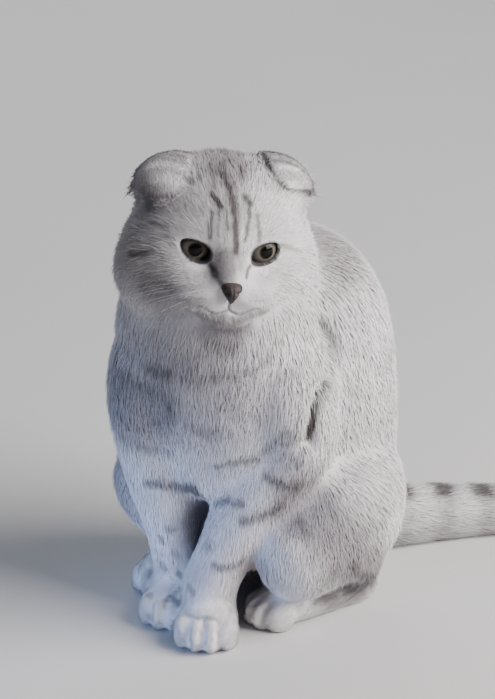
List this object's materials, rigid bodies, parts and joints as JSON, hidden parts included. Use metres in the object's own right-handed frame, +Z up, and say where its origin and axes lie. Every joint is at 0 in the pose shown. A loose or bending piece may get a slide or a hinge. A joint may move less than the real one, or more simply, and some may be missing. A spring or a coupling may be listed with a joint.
{
  "type": "scottish fold cat",
  "caption": "Life-size short-haired cat with small folded ears, sitting upright on the floor with its tail laid out behind.",
  "frame": {"origin": "on the floor, under the middle of the whole box around the animal", "axes": "+Z up, -Y the way the body faces, +X the animal's left side"},
  "size_m": [0.281, 0.3278, 0.3293],
  "materials": {
    "coat": "short dense silver tabby coat",
    "nose_leather": "moist dark brick nose leather",
    "eye": "wet clear eye over a hazel iris"
  },
  "bodies": {
    "root": {"head": "coat", "neck": "coat", "torso": "coat", "ear_left": "coat", "ear_right": "coat", "eye_left": "eye", "eye_right": "eye", "nose": "nose_leather", "foreleg_left": "coat", "foreleg_right": "coat", "forepaw_left": "coat", "forepaw_right": "coat", "hindleg_left": "coat", "hindleg_right": "coat", "hindpaw_left": "coat", "hindpaw_right": "coat", "tail_base": "coat", "tail_middle": "coat", "tail_tip": "coat"}
  },
  "joints": []
}
